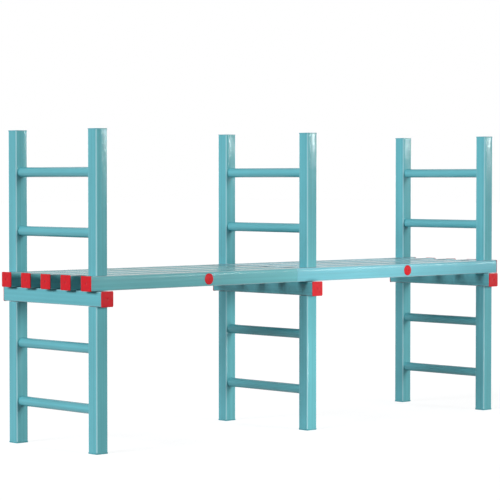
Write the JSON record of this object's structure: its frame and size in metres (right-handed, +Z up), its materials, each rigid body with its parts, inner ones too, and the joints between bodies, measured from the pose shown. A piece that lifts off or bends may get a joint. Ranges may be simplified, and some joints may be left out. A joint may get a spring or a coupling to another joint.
{
  "type": "modular plastic work platform bench",
  "caption": "Free-standing bench of plastic ladder frames carrying an open slatted shelf on square bearers, with a second tier of ladder frames standing on the shelf.",
  "frame": {"origin": "on the floor, under the centre of the middle ladder frame", "axes": "+X along the shelf from its left end to its right end, +Y from the front edge to the back edge, +Z up"},
  "size_m": [2.136, 0.544, 1.107],
  "materials": {
    "frame_turquoise": "satin extruded polypropylene with fine lengthwise die lines",
    "plank_turquoise": "satin extruded polypropylene, a little duller on top from use",
    "rod_turquoise": "satin extruded tube",
    "plug_turquoise": "fine moulded texture",
    "cap_red": "moulded, satin with a gate mark",
    "inner_fittings": "natural grey moulded nylon"
  },
  "bodies": {
    "root": {"back_bearer_caps": "cap_red", "feet": "plug_turquoise", "front_bearer_caps": "cap_red", "joint_sleeves": "inner_fittings", "left_bearer": "frame_turquoise", "left_cross_rod": "rod_turquoise", "left_lower_back_post": "frame_turquoise", "left_lower_bottom_rung": "frame_turquoise", "left_lower_front_post": "frame_turquoise", "left_lower_top_rung": "frame_turquoise", "left_plank_1": "plank_turquoise", "left_plank_2": "plank_turquoise", "left_plank_3": "plank_turquoise", "left_plank_4": "plank_turquoise", "left_plank_5": "plank_turquoise", "left_plank_caps": "cap_red", "left_rod_caps": "cap_red", "left_rod_spacers": "rod_turquoise", "left_upper_back_post": "frame_turquoise", "left_upper_bottom_rung": "frame_turquoise", "left_upper_front_post": "frame_turquoise", "left_upper_top_rung": "frame_turquoise", "lower_post_sockets": "inner_fittings", "middle_bearer": "frame_turquoise", "middle_lower_back_post": "frame_turquoise", "middle_lower_bottom_rung": "frame_turquoise", "middle_lower_front_post": "frame_turquoise", "middle_lower_top_rung": "frame_turquoise", "middle_upper_back_post": "frame_turquoise", "middle_upper_bottom_rung": "frame_turquoise", "middle_upper_front_post": "frame_turquoise", "middle_upper_top_rung": "frame_turquoise", "plank_dowels": "inner_fittings", "post_top_plugs": "plug_turquoise", "right_bearer": "frame_turquoise", "right_cross_rod": "rod_turquoise", "right_lower_back_post": "frame_turquoise", "right_lower_bottom_rung": "frame_turquoise", "right_lower_front_post": "frame_turquoise", "right_lower_top_rung": "frame_turquoise", "right_plank_1": "plank_turquoise", "right_plank_2": "plank_turquoise", "right_plank_3": "plank_turquoise", "right_plank_4": "plank_turquoise", "right_plank_5": "plank_turquoise", "right_plank_caps": "cap_red", "right_rod_caps": "cap_red", "right_rod_spacers": "rod_turquoise", "right_upper_back_post": "frame_turquoise", "right_upper_bottom_rung": "frame_turquoise", "right_upper_front_post": "frame_turquoise", "right_upper_top_rung": "frame_turquoise", "stacking_pins": "inner_fittings", "upper_post_sockets": "inner_fittings"}
  },
  "joints": []
}
